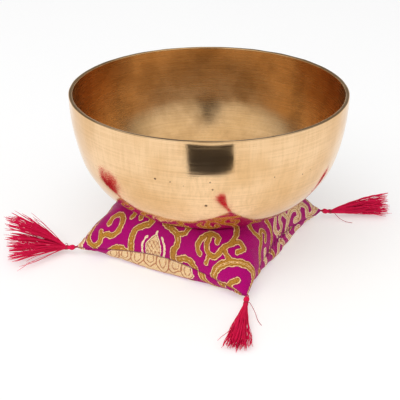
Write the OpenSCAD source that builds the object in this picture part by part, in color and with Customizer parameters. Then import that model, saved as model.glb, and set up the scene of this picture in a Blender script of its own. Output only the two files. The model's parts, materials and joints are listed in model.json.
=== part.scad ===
// Brass singing bowl on a square brocade cushion with four corner tassels.
// Millimetres, +Z up. The origin is the centre of the cushion's flat base.

/* [Bowl] */
// Outer diameter at the rim
bowl_d = 200; // [170:5:220]
// Height from the bowl's foot to its rim
bowl_h = 88; // [84:1:94]
// Thickness of the beaten wall
wall = 2.8; // [2.2:0.2:4]
// Height of the bowl's foot above the table
foot_z = 33; // [31:1:36]
// Sideways place of the bowl on the cushion
bowl_x = 2; // [-3:1:3]
// Front to back place of the bowl on the cushion
bowl_y = 4; // [-4:1:4]

/* [Cushion] */
// Side of the square cushion, corner to corner
cushion_side = 141; // [136:1:150]
// How far each side pulls in at its middle
side_pull = 8; // [4:1:10]
// Height of the seam at the corners
corner_z = 7; // [6.5:0.5:9]
// Height of the seam at the middle of a side
seam_mid_z = 13.5; // [12:0.5:16]
// Rise of the crown above the seam
crown_rise = 46; // [42:1:50]
// Depth of the belly below the seam, before the table flattens it
belly_drop = 21; // [19:1:24]
// Thickness of the quilted brocade cover
cover_t = 1; // [0.8:0.1:1.4]

/* [Tassels] */
// Length of the hanging loop past the corner
loop_len = 3.2; // [3:0.2:4.4]
// Diameter of the loop's cord
loop_cord_d = 0.9; // [0.8:0.1:1]
// Length of the folded head
head_len = 8; // [7:0.5:9]
// Diameter of the folded head
head_d = 5.2; // [5:0.2:6.4]
// Diameter of the bound neck
neck_d = 3.1; // [2.8:0.1:3.4]
// Length from the corner to the ends of the threads
tassel_len = 53; // [48:1:58]

/* [Hidden] */
$fn = 96;

// The bowl's outline is two arcs: a tall side arc and a shoulder arc that runs into the flat foot.
side_r = 140;          // radius of the side arc
shoulder_r = 62;       // radius of the shoulder arc
join_a = 16;           // angle below level at which the side arc meets the shoulder arc
rim_a = asin((shoulder_r - bowl_h + (side_r - shoulder_r) * sin(join_a)) / side_r);
side_c = [bowl_d / 2 - side_r * cos(rim_a), bowl_h + side_r * sin(rim_a)];
shoulder_c = side_c + (side_r - shoulder_r) * [cos(join_a), -sin(join_a)];
lip_bevel = 0.5;       // bevel on both edges of the flat lip
arc_steps = 14;        // chords in each arc of the outline

// Points of an arc about c, from angle a to angle b
function arc(c, r, a, b) = [for (i = [0:arc_steps]) let (t = a + (b - a) * i / arc_steps)
    c + r * [cos(t), sin(t)]];

// Height of a bowl surface, shrunk inwards by d, above the foot at radius r
function bowl_under(r, d = 0) = r < shoulder_c[0] ? d
    : shoulder_c[1] - sqrt(pow(shoulder_r - d, 2)
        - pow(min(r - shoulder_c[0], (shoulder_r - d) * cos(join_a)), 2));

module bowl() {
    inner_r = [side_r - wall, shoulder_r - wall];
    outline = concat(
        [[0, 0]],
        arc(shoulder_c, shoulder_r, -90, -join_a),
        [for (p = arc(side_c, side_r, -join_a, -rim_a)) if (p[1] < bowl_h - lip_bevel) p],
        [[bowl_d / 2, bowl_h - lip_bevel], [bowl_d / 2 - lip_bevel, bowl_h],
            [bowl_d / 2 - wall + lip_bevel, bowl_h], [bowl_d / 2 - wall, bowl_h - lip_bevel]],
        [for (p = arc(side_c, inner_r[0], -rim_a, -join_a)) if (p[1] < bowl_h - 2 * lip_bevel) p],
        arc(shoulder_c, inner_r[1], -join_a, -90),
        [[0, wall]]);
    color("goldenrod")
        translate([bowl_x, bowl_y, foot_z])
            rotate_extrude($fn = 180) polygon(outline);
}

// The cushion is a square grid: u and v run from -1 to 1 across it.
grid_n = 24;           // cells along each side of the grid
bowl_gap = 0.5;        // clearance between the bowl and the cover
crown_power = 0.7;     // below 1, so the crown is rounder than a tent
belly_power = 0.6;
crown_spread = 0.3;    // how much the upper sheet's sides stand upright
belly_spread = 0.75;   // above 0.5, so the lower sheet bulges out past the seam
half = cushion_side / 2;
steps = [for (i = [0:grid_n]) 2 * i / grid_n - 1];

// Bulge from 0 on the seam to 1 in the middle
function bulge(u, v, power) = pow(max(0, (1 - u * u) * (1 - v * v)), power);

// Plan point of grid place (u, v), shrunk inwards by d
function plan(u, v, d, spread) = let (h = half - d, wide = 1 + spread * bulge(u, v, 1))
    wide * [u * (h - side_pull * (1 - v * v)), v * (h - side_pull * (1 - u * u))];

// Height of the seam's own sheet, low at the corners
function seam_z(u, v) = corner_z + (seam_mid_z - corner_z) * pow(1 - u * u * v * v, 2);

// Upper sheet: a crown, dented where the bowl sits in it
function upper(u, v, d) = let (p = plan(u, v, d, crown_spread), r = norm(p - [bowl_x, bowl_y]))
    [p[0], p[1], min(seam_z(u, v) + (crown_rise - d) * bulge(u, v, crown_power),
        foot_z + bowl_under(r) - bowl_gap - d)];

// Lower sheet: a belly that the table flattens at height floor_z
function lower(u, v, d, floor_z) = let (p = plan(u, v, d, belly_spread))
    [p[0], p[1], max(seam_z(u, v) - (belly_drop - d) * bulge(u, v, belly_power), floor_z)];

function upper_sheet(d) = [for (u = steps) for (v = steps) upper(u, v, d)];
function lower_sheet(d, floor_z) = [for (u = steps) for (v = steps) lower(u, v, d, floor_z)];

row = grid_n + 1;      // points along each side of the grid
sheet_size = row * row;

// Two triangles for each grid cell of the sheet whose first point is number k. Each cell is cut
// along the diagonal that points to the nearest corner, so no triangle has all its points on the seam.
function faces_up(k) = [for (i = [0:grid_n - 1]) for (j = [0:grid_n - 1])
    let (a = k + i * row + j, b = a + 1, c = a + row + 1, d = a + row,
        same = (2 * i < grid_n) == (2 * j < grid_n))
    each same ? [[a, b, c], [a, c, d]] : [[a, b, d], [b, c, d]]];
function faces_down(k) = [for (f = faces_up(k)) [f[0], f[2], f[1]]];

// Grid numbers once around the edge of a sheet
edge_loop = concat(
    [for (j = [0:grid_n - 1]) j],
    [for (i = [0:grid_n - 1]) i * row + grid_n],
    [for (j = [0:grid_n - 1]) grid_n * row + grid_n - j],
    [for (i = [0:grid_n - 1]) (grid_n - i) * row]);

// Strip that joins the edges of two sheets
function rim_faces(k0, k1) = [for (i = [0:len(edge_loop) - 1])
    let (a = edge_loop[i], b = edge_loop[(i + 1) % len(edge_loop)])
    each [[k0 + a, k1 + a, k1 + b], [k0 + a, k1 + b, k0 + b]]];

module cover_top() {
    color("mediumvioletred")
        polyhedron(concat(upper_sheet(0), upper_sheet(cover_t)),
            concat(faces_up(0), faces_down(sheet_size), rim_faces(0, sheet_size)));
}

module cover_bottom() {
    below = -40;       // far enough down for the belly to be cut, not clamped
    color("mediumvioletred")
        difference() {
            polyhedron(concat(lower_sheet(cover_t, cover_t), lower_sheet(0, below)),
                concat(faces_up(0), faces_down(sheet_size), rim_faces(0, sheet_size)));
            translate([-half, -half, 2 * below]) cube([2 * half, 2 * half, -2 * below]);
        }
}

// Loose stuffing that fills the space between the two covers
module filling() {
    is_edge = [for (n = [0:sheet_size - 1]) len(search(n, edge_loop)) > 0];
    color("ivory")
        polyhedron(concat(upper_sheet(cover_t), lower_sheet(cover_t, cover_t)),
            concat(faces_up(0),
                [for (f = faces_down(sheet_size))
                    [for (n = f) is_edge[n - sheet_size] ? n - sheet_size : n]]));
}

// Hand stitches that close the side the stuffing went in by
stitch_count = 9;
stitch_pitch = 5;
stitch_d = 0.6;
stitch_len = 3.2;
stitch_gap = 0.15;     // clearance between the stitches and the covers
module closing_stitches() {
    color("mediumvioletred")
        for (i = [0:stitch_count - 1]) {
            y = (i - (stitch_count - 1) / 2) * stitch_pitch;
            v = y / half;
            x = half - side_pull * (1 - v * v);
            translate([x + stitch_d / 2 + stitch_gap, y, seam_z(1, v)])
                rotate([20, -12, 0]) stitch();
        }
}
module stitch() {
    cylinder(d = stitch_d, h = stitch_len - stitch_d, center = true, $fn = 24);
    for (s = [-1, 1]) translate([0, 0, s * (stitch_len - stitch_d) / 2]) sphere(d = stitch_d, $fn = 24);
}

// Each tassel: corner signs, yaw from the cushion's diagonal, width and height of its thread ends
FRONT = [[1, -1], -27, 26, 11];
RIGHT = [[1, 1], -8, 16, 13];
BACK = [[-1, 1], 12, 30, 10];
LEFT = [[-1, -1], -31, 44, 15];

loop_start = 0.4;      // gap between the corner and the loop
loop_w = 2.6;          // width of the loop
pivot_x = loop_start + loop_len;
pivot_z = 6.2;         // height of the loop's outer end
head_gap = 0.4;        // clearance between the loop and the head
neck_len = 2.4;        // length of the bound neck
neck_x = pivot_x + head_gap + head_len;
neck_z = 5;            // height of the neck's axis where the head ends
skirt_x = neck_x + neck_len + 1.8;   // where the skirt begins to spread
neck_slope = atan2(neck_z - pivot_z, neck_x - pivot_x);
ends_lift = 0.3;       // the thread ends lie this far above the table

// Place children with x along the tassel, from its corner
module at_corner(t) {
    translate([t[0][0] * half, t[0][1] * half, 0])
        rotate([0, 0, atan2(t[0][1], t[0][0]) + t[1]])
            children();
}

// Hanging loop: a closed ring of cord with round ends
module tassel_loop(t) {
    r = (loop_w - loop_cord_d) / 2;
    straight = loop_len - loop_w;
    slope = atan2(pivot_z - corner_z, loop_len);
    color("crimson")
        at_corner(t)
            translate([loop_start, 0, corner_z])
                rotate([0, -slope, 0])
                    translate([loop_w / 2, 0, 0])
                        for (e = [0, 1]) mirror([0, e, 0]) {
                            translate([0, r, 0]) rotate([0, 90, 0])
                                cylinder(d = loop_cord_d, h = straight, $fn = 32);
                            rotate([0, 0, 90]) ring_quarter(r);
                            translate([straight, 0, 0]) ring_quarter(r);
                        }
}
module ring_quarter(r) {
    rotate_extrude(angle = 90, $fn = 64) translate([r, 0]) circle(d = loop_cord_d, $fn = 32);
}

// Folded threads: a round head, a bound neck and a spreading skirt
module tassel_strands(t) {
    end_w = t[2];
    end_h = t[3];
    color("crimson")
        at_corner(t) {
            translate([pivot_x, 0, pivot_z]) rotate([0, 90 - neck_slope, 0])
                rotate_extrude($fn = 48) polygon(head_outline());
            hull() {
                translate([skirt_x, 0, pivot_z + (skirt_x - pivot_x) * tan(neck_slope)])
                    sphere(d = neck_d * 0.9, $fn = 24);
                for (s = [-1, 1])
                    translate([tassel_len, s * (end_w - end_h) / 2, end_h / 2 + ends_lift])
                        rotate([0, -90, 0]) cylinder(d = end_h, h = 5, $fn = 32);
            }
        }
}

// Half outline of head and neck, with its length along y
function head_outline() = let (r = head_d / 2, n = neck_d / 2, y0 = head_gap,
        y1 = head_gap + head_len)
    concat([[0, y0]],
        [for (i = [1:8]) [r * sin(i * 90 / 8), y0 + r * (1 - cos(i * 90 / 8))]],
        [[r * 0.97, y0 + head_len * 0.6], [r * 0.8, y0 + head_len * 0.82], [n, y1],
            [n, y1 + neck_len + 2], [0, y1 + neck_len + 2]]);

// Thread wound tightly around the neck
wraps = 4;
module tassel_binding(t) {
    wrap_d = neck_len / wraps;
    n = neck_d / 2 + 0.05;
    color("firebrick")
        at_corner(t)
            translate([pivot_x, 0, pivot_z]) rotate([0, 90 - neck_slope, 0])
                translate([0, 0, head_gap + head_len + 0.1])
                    rotate_extrude($fn = 48)
                        polygon(concat([[n, 0]],
                            [for (w = [0:wraps - 1]) for (i = [0:6]) let (a = i * 180 / 6)
                                [n + wrap_d / 4 + wrap_d * 0.75 * sin(a),
                                    wrap_d * (w + (1 - cos(a)) / 2)]],
                            [[n, wraps * wrap_d]]));
}

bowl();
cover_top();
cover_bottom();
filling();
closing_stitches();
tassel_loop(FRONT);  // front_tassel_loop
tassel_strands(FRONT);  // front_tassel_strands
tassel_binding(FRONT);  // front_tassel_binding
tassel_loop(RIGHT);  // right_tassel_loop
tassel_strands(RIGHT);  // right_tassel_strands
tassel_binding(RIGHT);  // right_tassel_binding
tassel_loop(BACK);  // back_tassel_loop
tassel_strands(BACK);  // back_tassel_strands
tassel_binding(BACK);  // back_tassel_binding
tassel_loop(LEFT);  // left_tassel_loop
tassel_strands(LEFT);  // left_tassel_strands
tassel_binding(LEFT);  // left_tassel_binding
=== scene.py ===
"""Looks for a brass singing bowl that rests on a square brocade cushion with four thread tassels."""
import json
import logging
import math
from dataclasses import dataclass, field
from enum import Enum

import bpy
import numpy as np
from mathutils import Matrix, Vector


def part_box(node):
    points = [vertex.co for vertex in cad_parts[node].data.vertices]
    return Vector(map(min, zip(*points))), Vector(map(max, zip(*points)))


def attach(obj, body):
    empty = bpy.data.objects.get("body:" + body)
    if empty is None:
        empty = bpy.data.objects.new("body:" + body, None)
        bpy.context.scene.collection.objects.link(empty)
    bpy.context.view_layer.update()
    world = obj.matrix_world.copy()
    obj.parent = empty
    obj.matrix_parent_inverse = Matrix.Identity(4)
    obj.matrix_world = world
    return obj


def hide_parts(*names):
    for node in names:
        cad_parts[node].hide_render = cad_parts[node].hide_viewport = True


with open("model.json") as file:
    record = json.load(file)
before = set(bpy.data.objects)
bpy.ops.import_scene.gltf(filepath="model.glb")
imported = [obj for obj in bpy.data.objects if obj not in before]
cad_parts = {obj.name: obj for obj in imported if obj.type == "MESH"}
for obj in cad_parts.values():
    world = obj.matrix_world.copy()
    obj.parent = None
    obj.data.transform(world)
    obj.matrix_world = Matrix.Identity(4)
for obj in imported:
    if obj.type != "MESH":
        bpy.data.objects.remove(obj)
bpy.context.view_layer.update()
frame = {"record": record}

log = logging.getLogger("singing_bowl")
MM = 0.001
TAU = 2 * math.pi
LEVEL = np.array([1.0, 1.0, 0.0])
UP = np.array([0.0, 0.0, 1.0])
Array = np.ndarray
Face = tuple[int, ...]
Colour = tuple[float, float, float]
Stroke = tuple[list[tuple[float, float]], float]
Socket = bpy.types.NodeSocket
Piece = bpy.types.Object


# ---------------------------------------------------------------- meshes


def grid_faces(rows: int, columns: int, closed: bool = False) -> list[Face]:
    """Quads of a grid whose points run row by row.

    Args:
        rows: Number of rows of points.
        columns: Number of points in each row.
        closed: Whether the last column joins the first.

    Returns:
        The faces, as tuples of point numbers.
    """
    last = columns if closed else columns - 1
    faces = []
    for i in range(rows - 1):
        for j in range(last):
            k = (j + 1) % columns
            row, above = i * columns, (i + 1) * columns
            faces.append((row + j, row + k, above + k, above + j))
    return faces


def make_mesh(name: str, points: Array, faces: list[Face], smooth: bool = True) -> Piece:
    """Make a mesh object in the scene.

    Args:
        name: The piece's name.
        points: Its points, in metres.
        faces: Its faces.
        smooth: Whether it is shaded smooth.

    Returns:
        The new object.
    """
    mesh = bpy.data.meshes.new(name)
    mesh.from_pydata(np.asarray(points, float).tolist(), [], faces)
    mesh.validate()
    mesh.polygons.foreach_set("use_smooth", [smooth] * len(mesh.polygons))
    mesh.update()
    piece = bpy.data.objects.new(name, mesh)
    bpy.context.scene.collection.objects.link(piece)
    return piece


def add_attribute(piece: Piece, name: str, values: Array) -> None:
    """Store one number for each point of a piece, for its material to read."""
    layer = piece.data.attributes.new(name, "FLOAT", "POINT")
    layer.data.foreach_set("value", np.asarray(values, np.float32))


def unit(v: Array) -> Array:
    """Vectors scaled to length one."""
    v = np.asarray(v, float)
    return v / np.maximum(np.linalg.norm(v, axis=-1, keepdims=True), 1e-12)


def ripple(points: Array, wavelength: float, seed: int, waves: int = 24) -> Array:
    """Smooth random waves through space, of about unit height.

    Args:
        points: Where to read them.
        wavelength: The waves' length, in the points' units.
        seed: Seed of the random directions.
        waves: How many waves are added up.

    Returns:
        One height for each point.
    """
    rng = np.random.default_rng(seed)
    directions = unit(rng.normal(size=(waves, points.shape[-1])))
    lengths = wavelength * rng.uniform(0.75, 1.4, waves)
    phases = rng.uniform(0, TAU, waves)
    total = np.zeros(points.shape[:-1])
    for d, length, phase in zip(directions, lengths, phases):
        total += np.cos(points @ d * (TAU / length) + phase)
    return total / math.sqrt(waves / 2)


def sweep(path: Array, radii: Array, sides: int, start: int = 0) -> tuple[Array, list[Face]]:
    """A round tube along a path, with closed ends.

    Args:
        path: Points along the tube's middle.
        radii: The tube's radius at each point.
        sides: Number of sides of the tube.
        start: Number of the tube's first point in its mesh.

    Returns:
        The tube's points and faces.
    """
    tangents = unit(np.gradient(path, axis=0))
    spare = UP if abs(tangents[0][2]) < 0.9 else np.array([1.0, 0.0, 0.0])
    side = unit(np.cross(tangents[0], spare))
    rings = []
    angles = np.linspace(0, TAU, sides, endpoint=False)[:, None]
    for point, tangent, radius in zip(path, tangents, radii):
        side = unit(side - tangent * (side @ tangent))
        other = np.cross(tangent, side)
        rings.append(point + radius * (np.cos(angles) * side + np.sin(angles) * other))
    faces = [tuple(start + k for k in f) for f in grid_faces(len(path), sides, closed=True)]
    faces.append(tuple(start + k for k in reversed(range(sides))))
    last = start + (len(path) - 1) * sides
    faces.append(tuple(last + k for k in range(sides)))
    return np.concatenate(rings), faces


class ThreadBundle:
    """Many tubes that are gathered into one mesh."""

    def __init__(self, sides: int) -> None:
        """Start an empty bundle whose tubes have that many sides."""
        self.sides = sides
        self.points: list[Array] = []
        self.faces: list[Face] = []
        self.shades: list[Array] = []
        self.count = 0

    def add(self, path: Array, radii: Array, shade: float) -> None:
        """Add one tube.

        Args:
            path: Points along the tube's middle.
            radii: The tube's radius at each point.
            shade: A number from 0 to 1 that varies its colour.
        """
        points, faces = sweep(path, radii, self.sides, self.count)
        self.points.append(points)
        self.faces += faces
        self.shades.append(np.full(len(points), shade))
        self.count += len(points)

    def build(self, name: str) -> Piece:
        """Make the mesh, with each tube's shade stored in it."""
        piece = make_mesh(name, np.concatenate(self.points), self.faces)
        add_attribute(piece, "shade", np.concatenate(self.shades))
        return piece


# ---------------------------------------------------------------- finishes


class Graph:
    """The node tree of one material or world, with short calls for the nodes that the looks use."""

    def __init__(self, owner: bpy.types.ID, shader: str = "Principled BSDF") -> None:
        """Start from a new material or world, which holds only its shader and its output."""
        owner.use_nodes = True
        self.owner = owner
        self.tree = owner.node_tree
        self.shader = self.tree.nodes[shader]

    def node(self, kind: str, inputs: dict, **settings: object) -> bpy.types.Node:
        """Add a node.

        Args:
            kind: The node's type, without its ShaderNode prefix.
            inputs: Values or sockets for its inputs, by name or number.
            settings: Its properties.

        Returns:
            The new node.
        """
        made = self.tree.nodes.new("ShaderNode" + kind)
        for key, value in settings.items():
            setattr(made, key, value)
        for key, value in inputs.items():
            self.feed(made.inputs[key], value)
        return made

    def feed(self, socket: Socket, value: object) -> None:
        """Set an input to a value, or link it to another node's output."""
        if isinstance(value, Socket):
            self.tree.links.new(value, socket)
        else:
            socket.default_value = (*value, 1.0) if socket.type == "RGBA" else value

    def math(self, operation: str, a: object, b: object = 0.0) -> Socket:
        """One sum of two numbers."""
        return self.node("Math", {0: a, 1: b}, operation=operation).outputs[0]

    def add(self, total: object, *terms: object) -> Socket:
        """Numbers added up."""
        for term in terms:
            total = self.math("ADD", total, term)
        return total

    def less(self, a: object, b: object) -> Socket:
        """One number less another."""
        return self.math("SUBTRACT", a, b)

    def times(self, a: object, b: object) -> Socket:
        """One number times another."""
        return self.math("MULTIPLY", a, b)

    def place(self, kind: str = "Object") -> Socket:
        """The point on the piece, in metres, or another of the places that a node tree knows."""
        return self.node("TexCoord", {}).outputs[kind]

    def attribute(self, name: str) -> Socket:
        """A number stored in the mesh."""
        return self.node("Attribute", {}, attribute_name=name).outputs["Fac"]

    def noise(self, where: object, scale: float, detail: float = 2.0, rough: float = 0.5) -> Socket:
        """Smooth random values from 0 to 1."""
        inputs = {"Vector": where, "Scale": scale, "Detail": detail, "Roughness": rough}
        return self.node("TexNoise", inputs).outputs[0]

    def span(self, value: object, low: float, high: float, to_low: float = 0.0, to_high: float = 1.0,
             kind: str = "SMOOTHSTEP") -> Socket:
        """A value's place between low and high, carried over to another span."""
        inputs = {0: value, 1: low, 2: high, 3: to_low, 4: to_high}
        return self.node("MapRange", inputs, interpolation_type=kind).outputs[0]

    def mix(self, share: object, a: object, b: object) -> Socket:
        """One colour laid over another by a share from 0 to 1."""
        return self.node("Mix", {0: share, 6: a, 7: b}, data_type="RGBA").outputs[2]

    def bump(self, height: object, depth: float) -> Socket:
        """A surface slope from a height whose unit stands for that depth in metres."""
        return self.node("Bump", {"Height": height, "Distance": depth, "Strength": 1.0}).outputs[0]

    def shade(self, **sockets: object) -> bpy.types.ID:
        """Set the shader's own sockets, named with _ for a space, and return the material or world."""
        for name, value in sockets.items():
            self.feed(self.shader.inputs[name.replace("_", " ")], value)
        return self.owner


@dataclass(frozen=True)
class TurnedBrass:
    """Bright brass, finished on a lathe: fine rings, a few scratches, small pits from the casting."""

    colour: Colour = (0.92, 0.63, 0.36)
    warm_colour: Colour = (0.78, 0.485, 0.23)
    inside_colour: Colour = (0.86, 0.51, 0.21)
    worn_colour: Colour = (0.50, 0.28, 0.10)
    stain: Colour = (0.48, 0.27, 0.11)
    pit_colour: Colour = (0.09, 0.04, 0.015)
    roughness: float = 0.11
    inside_rougher: float = 0.13
    ring_depth: float = 0.02 * MM
    pit_depth_in_rings: float = 6.0

    def material(self, pits: list[tuple[Vector, float]]) -> bpy.types.Material:
        """Make the finish.

        Args:
            pits: Centre and radius of each small pit, in metres.

        Returns:
            The material.
        """
        g = Graph(bpy.data.materials.new("turned_brass"))
        place, ring, inside = g.place(), g.attribute("ring"), g.attribute("inside")
        split = g.node("SeparateXYZ", {0: place})

        def streaks(across: float, along: float, detail: float, rough: float) -> Socket:
            """Noise that is drawn out around the bowl or up its side, by its scales across and along."""
            scaled = {k: g.times(split.outputs[k], across) for k in (0, 1)}
            where = g.node("CombineXYZ", {**scaled, 2: g.times(ring, along)}).outputs[0]
            return g.noise(where, 1.0, detail, rough)

        fine = streaks(26, 1900, 3.0, 0.65)
        bands = streaks(9, 260, 2.0, 0.6)
        grooves = streaks(20, 850, 2.0, 0.7)
        rubbed = streaks(520, 50, 2.0, 0.6)
        lines = g.add(g.times(grooves, 0.6), g.times(rubbed, 0.4))
        cloud = g.noise(place, 22.0, 3.0, 0.55)
        stained = g.span(g.noise(place, 32.0, 3.0, 0.6), 0.42, 0.68, 0.0, 0.55)
        tone = g.mix(g.span(cloud, 0.35, 0.7), self.colour, self.warm_colour)
        tone = g.mix(g.times(inside, 0.5), tone, self.inside_colour)
        tone = g.mix(g.times(inside, stained), tone, self.stain)
        tone = g.mix(g.span(lines, 0.38, 0.68, 0.0, 0.30), tone, self.worn_colour)
        pitted: object = 0.0
        for centre, radius in pits:
            away = g.node("VectorMath", {0: place, 1: centre}, operation="DISTANCE").outputs["Value"]
            edge = g.add(away, g.times(g.noise(place, 1500.0, 1.0), 0.5 * radius))
            pitted = g.math("MAXIMUM", pitted, g.span(edge, 0.7 * radius, 1.6 * radius, 1.0, 0.0))
        tone = g.mix(pitted, tone, self.pit_colour)
        rough = g.add(g.span(fine, 0.3, 0.7, self.roughness - 0.035, self.roughness + 0.045),
                      g.times(g.less(bands, 0.5), 0.08), g.times(inside, self.inside_rougher))
        height = g.add(g.times(fine, 0.5), g.times(lines, 1.2))
        height = g.less(height, g.times(pitted, self.pit_depth_in_rings))
        return g.shade(Base_Color=tone, Metallic=1.0, Roughness=rough, Normal=g.bump(height, self.ring_depth))


@dataclass(frozen=True)
class Brocade:
    """Woven brocade: a magenta satin ground with gold ribbons that have light edges, and cream petals."""

    ground: Colour = (0.56, 0.0, 0.20)
    ground_shade: Colour = (0.24, 0.0, 0.10)
    gold: Colour = (0.70, 0.35, 0.05)
    gold_shade: Colour = (0.24, 0.08, 0.012)
    edge: Colour = (0.92, 0.60, 0.30)
    cream: Colour = (0.95, 0.78, 0.52)
    cream_shade: Colour = (0.76, 0.46, 0.18)
    line: Colour = (0.40, 0.10, 0.04)
    worn: Colour = (0.18, 0.02, 0.06)
    # Painted shade: a near-black tone laid along the seam, where the cloth turns into the join.
    painted_seam_shade: Colour = (0.12, 0.0, 0.05)
    thread: float = 0.36 * MM
    relief: float = 0.12 * MM

    def material(self) -> bpy.types.Material:
        """Make the finish, which reads the pattern's distances from the mesh."""
        g = Graph(bpy.data.materials.new("brocade"))
        x, y = g.attribute("cloth_x"), g.attribute("cloth_y")
        cloth = g.node("CombineXYZ", {0: x, 1: y}).outputs[0]
        jag = g.add(g.times(g.less(g.noise(cloth, 1.3, 2.0), 0.5), 0.5),
                    g.times(g.less(g.noise(cloth, 0.4, 1.0), 0.5), 1.9))
        gold_edge, cream_edge = (g.add(g.attribute(name), jag) for name in ("gold_edge", "cream_edge"))
        is_gold, is_cream = (g.span(edge, -0.08, 0.08, 1.0, 0.0) for edge in (gold_edge, cream_edge))
        turns = TAU * MM / self.thread
        weft, warp = (g.math("SINE", g.times(way, turns)) for way in (y, x))
        twill = g.math("SINE", g.times(g.add(x, g.times(y, 0.6)), turns * 0.8))
        fleck = g.noise(cloth, 1.1, 3.0, 0.8)
        ground = g.mix(g.span(g.add(weft, g.times(fleck, 1.5)), -0.4, 1.8), self.ground_shade, self.ground)
        ground = self.lined(g, ground, gold_edge, (0.28, 0.16, self.ground_shade))
        gold = g.mix(g.span(g.add(g.times(twill, 0.2), fleck), 0.3, 0.7), self.gold_shade, self.gold)
        gold = self.lined(g, gold, gold_edge, (-2.55, 0.14, self.edge), (-0.85, 0.16, self.gold_shade),
                          (-0.35, 0.3, self.edge))
        drawn = g.add(g.attribute("figure_line"), g.times(jag, 0.4))
        cream = g.mix(g.span(fleck, 0.3, 0.75), self.cream_shade, self.cream)
        cream = g.mix(g.span(drawn, -0.12, 0.12, 0.8, 0.0), cream, self.line)
        cream = self.lined(g, cream, cream_edge, (-0.9, 0.16, self.line), (-0.35, 0.32, self.cream))
        colour = g.mix(is_cream, g.mix(is_gold, ground, gold), cream)
        colour = g.mix(g.span(g.noise(g.place(), 60.0, 3.0), 0.5, 0.8, 0.0, 0.16), colour, self.worn)
        # Painted shade: darkens the cloth within about a millimetre of the seam, going by the seam_reach
        # attribute.
        colour = g.mix(g.span(g.attribute("seam_reach"), 0.1, 0.9, 0.55, 0.0), colour, self.painted_seam_shade)
        woven = g.math("MAXIMUM", is_gold, is_cream)
        height = g.add(g.times(g.add(weft, 1.0), 0.22), g.times(woven, 0.4),
                       g.times(g.times(g.add(twill, warp), woven), 0.12), g.times(fleck, 0.3))
        return g.shade(Base_Color=colour, Roughness=g.span(woven, 0.0, 1.0, 0.45, 0.6),
                       Normal=g.bump(height, self.relief), Sheen_Weight=0.02, Sheen_Roughness=0.4,
                       Sheen_Tint=(1.0, 0.3, 0.6), Specular_IOR_Level=0.1)

    @staticmethod
    def lined(g: Graph, tone: Socket, distance: Socket, *lines: tuple[float, float, Colour]) -> Socket:
        """Weave thin lines along a figure's outline.

        Args:
            g: The material's nodes.
            tone: The colour under the lines.
            distance: The distance from the figure's edge.
            lines: Each line's distance from the edge, half its width, and its colour.

        Returns:
            The colour with the lines on it.
        """
        for where, half_width, colour in lines:
            off = g.math("ABSOLUTE", g.less(distance, where))
            tone = g.mix(g.span(off, half_width * 0.6, half_width * 1.3, 1.0, 0.0), tone, colour)
        return tone


@dataclass(frozen=True)
class SilkThread:
    """Shiny twisted thread whose colour varies a little from strand to strand."""

    name: str
    light: Colour
    dark: Colour
    roughness: float = 0.38
    fibre_depth: float = 0.05 * MM

    def material(self) -> bpy.types.Material:
        """Make the finish."""
        g = Graph(bpy.data.materials.new(self.name))
        place = g.place()
        mottle = g.noise(place, 700.0, 2.0)
        share = g.add(g.times(g.attribute("shade"), 0.75), g.times(mottle, 0.25))
        rough = g.span(mottle, 0.3, 0.7, self.roughness - 0.06, self.roughness + 0.1)
        fibres = g.noise(place, 2600.0, 2.0, 0.7)
        return g.shade(Base_Color=g.mix(share, self.dark, self.light), Roughness=rough,
                       Normal=g.bump(fibres, self.fibre_depth), Sheen_Weight=0.2, Sheen_Roughness=0.35,
                       Sheen_Tint=(1.0, 0.4, 0.5), Specular_IOR_Level=0.5)


@dataclass(frozen=True)
class CottonStuffing:
    """Loose cotton inside the cushion."""

    colour: Colour = (0.82, 0.78, 0.70)
    # Painted shade: the darker colour that fills the hollows between the tufts.
    painted_hollow_shade: Colour = (0.68, 0.63, 0.54)

    def material(self) -> bpy.types.Material:
        """Make the finish."""
        g = Graph(bpy.data.materials.new("cotton_stuffing"))
        tufts = g.noise(g.place(), 180.0, 5.0, 0.7)
        # Painted shade: the lower parts of the tuft bump get the darker colour.
        tone = g.mix(g.span(tufts, 0.3, 0.7), self.painted_hollow_shade, self.colour)
        return g.shade(Base_Color=tone, Roughness=0.95, Normal=g.bump(tufts, 1.5 * MM))


@dataclass(frozen=True)
class StudioPaper:
    """The plain pale floor that the object stands on."""

    colour: Colour = (0.62, 0.62, 0.62)
    fleck: Colour = (0.57, 0.57, 0.57)
    glow: float = 0.40

    def material(self) -> bpy.types.Material:
        """Make the finish."""
        g = Graph(bpy.data.materials.new("studio_paper"))
        grain = g.noise(g.place(), 900.0, 2.0)
        tone = g.mix(g.span(grain, 0.3, 0.7, 0.0, 0.03), self.colour, self.fleck)
        return g.shade(Base_Color=tone, Roughness=0.9, Emission_Color=(1.0, 1.0, 1.0),
                       Emission_Strength=self.glow)


# ---------------------------------------------------------------- bowl


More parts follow.
